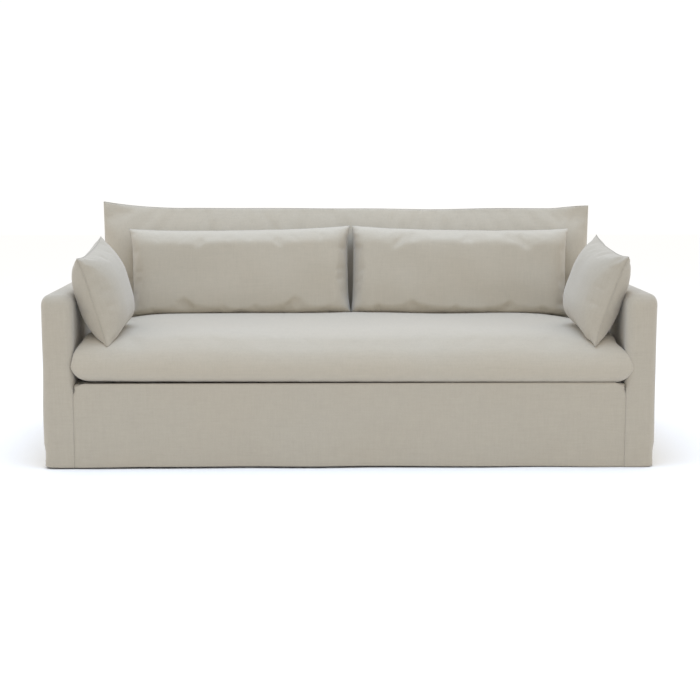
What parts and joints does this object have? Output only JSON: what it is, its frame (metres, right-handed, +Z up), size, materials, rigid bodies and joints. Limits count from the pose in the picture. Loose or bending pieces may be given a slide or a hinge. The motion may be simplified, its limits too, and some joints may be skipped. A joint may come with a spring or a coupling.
{
  "type": "slipcovered sofa",
  "caption": "Three-seat sofa on wooden legs under a floor-length linen slipcover, with bench seat cushion, back cushions and small pillows.",
  "frame": {"origin": "on the floor under the middle of the sofa, at the bottom centre of its box", "axes": "+X along the sofa's width, -Y out of its front, +Z up"},
  "size_m": [2.2, 0.99, 0.9],
  "materials": {
    "slipcover_linen": "woven linen, matt",
    "cushion_linen": "woven linen, matt",
    "pillow_linen": "woven linen, matt",
    "foam": "open-cell foam",
    "wadding": "fibre wadding",
    "webbing": "elastic webbing",
    "dust_cloth": "non-woven cloth",
    "felt": "pressed felt",
    "hardboard": "pressed board",
    "frame_wood": "sawn hardwood",
    "leg_wood": "oiled oak, satin",
    "steel": "zinc plated",
    "zip_tape": "woven tape with moulded teeth",
    "zip_metal": "nickel plated"
  },
  "bodies": {
    "sofa_frame": {"back_foam": "foam", "back_panel": "hardboard", "back_top_rail": "frame_wood", "back_top_roll": "wadding", "back_uprights": "frame_wood", "back_webbing": "webbing", "corner_blocks": "frame_wood", "cross_webbing": "webbing", "deck_pad": "foam", "dust_cover": "dust_cloth", "front_centre_leg": "leg_wood", "front_left_leg": "leg_wood", "front_padding": "wadding", "front_rail": "frame_wood", "front_right_leg": "leg_wood", "left_arm_foam": "foam", "left_arm_panels": "hardboard", "left_arm_rail": "frame_wood", "left_front_post": "frame_wood", "left_rear_post": "frame_wood", "left_side_rail": "frame_wood", "leg_bolts": "steel", "leg_glides": "felt", "leg_plates": "steel", "rear_centre_leg": "leg_wood", "rear_left_leg": "leg_wood", "rear_rail": "frame_wood", "rear_right_leg": "leg_wood", "right_arm_foam": "foam", "right_arm_panels": "hardboard", "right_arm_rail": "frame_wood", "right_front_post": "frame_wood", "right_rear_post": "frame_wood", "right_side_rail": "frame_wood", "seat_stretchers": "frame_wood", "seat_webbing": "webbing", "slipcover_back": "slipcover_linen", "slipcover_deck": "slipcover_linen", "slipcover_front": "slipcover_linen", "slipcover_left_arm": "slipcover_linen", "slipcover_rear": "slipcover_linen", "slipcover_right_arm": "slipcover_linen", "webbing_clips": "steel"},
    "seat_cushion": {"seat_cushion_core": "foam", "seat_cushion_cover": "cushion_linen", "seat_cushion_zip": "zip_tape"},
    "left_back_cushion": {"left_back_cushion_cover": "cushion_linen", "left_back_cushion_insert": "wadding", "left_back_cushion_zip": "zip_tape"},
    "right_back_cushion": {"right_back_cushion_cover": "cushion_linen", "right_back_cushion_insert": "wadding", "right_back_cushion_zip": "zip_tape"},
    "left_pillow": {"left_pillow_cover": "pillow_linen", "left_pillow_insert": "wadding"},
    "right_pillow": {"right_pillow_cover": "pillow_linen", "right_pillow_insert": "wadding"},
    "seat_zip_slider": {"seat_cushion_zip_slider": "zip_metal"},
    "left_back_zip_slider": {"left_back_cushion_zip_slider": "zip_metal"},
    "right_back_zip_slider": {"right_back_cushion_zip_slider": "zip_metal"}
  },
  "joints": [
    {"name": "seat_cushion_lift", "type": "slide", "parent": "sofa_frame", "child": "seat_cushion", "axis": [0, 0, 1], "range_m": [0, 0.25]},
    {"name": "left_back_cushion_lift", "type": "slide", "parent": "seat_cushion", "child": "left_back_cushion", "axis": [0, 0, 1], "range_m": [0, 0.3]},
    {"name": "right_back_cushion_lift", "type": "slide", "parent": "seat_cushion", "child": "right_back_cushion", "axis": [0, 0, 1], "range_m": [0, 0.3]},
    {"name": "left_pillow_lift", "type": "slide", "parent": "seat_cushion", "child": "left_pillow", "axis": [0, 0, 1], "range_m": [0, 0.3]},
    {"name": "right_pillow_lift", "type": "slide", "parent": "seat_cushion", "child": "right_pillow", "axis": [0, 0, 1], "range_m": [0, 0.3]},
    {"name": "seat_zip_pull", "type": "slide", "parent": "seat_cushion", "child": "seat_zip_slider", "axis": [1, 0, 0], "range_m": [0, 1.28]},
    {"name": "left_back_zip_pull", "type": "slide", "parent": "left_back_cushion", "child": "left_back_zip_slider", "axis": [1, 0, 0], "range_m": [0, 0.54]},
    {"name": "right_back_zip_pull", "type": "slide", "parent": "right_back_cushion", "child": "right_back_zip_slider", "axis": [1, 0, 0], "range_m": [0, 0.54]}
  ]
}
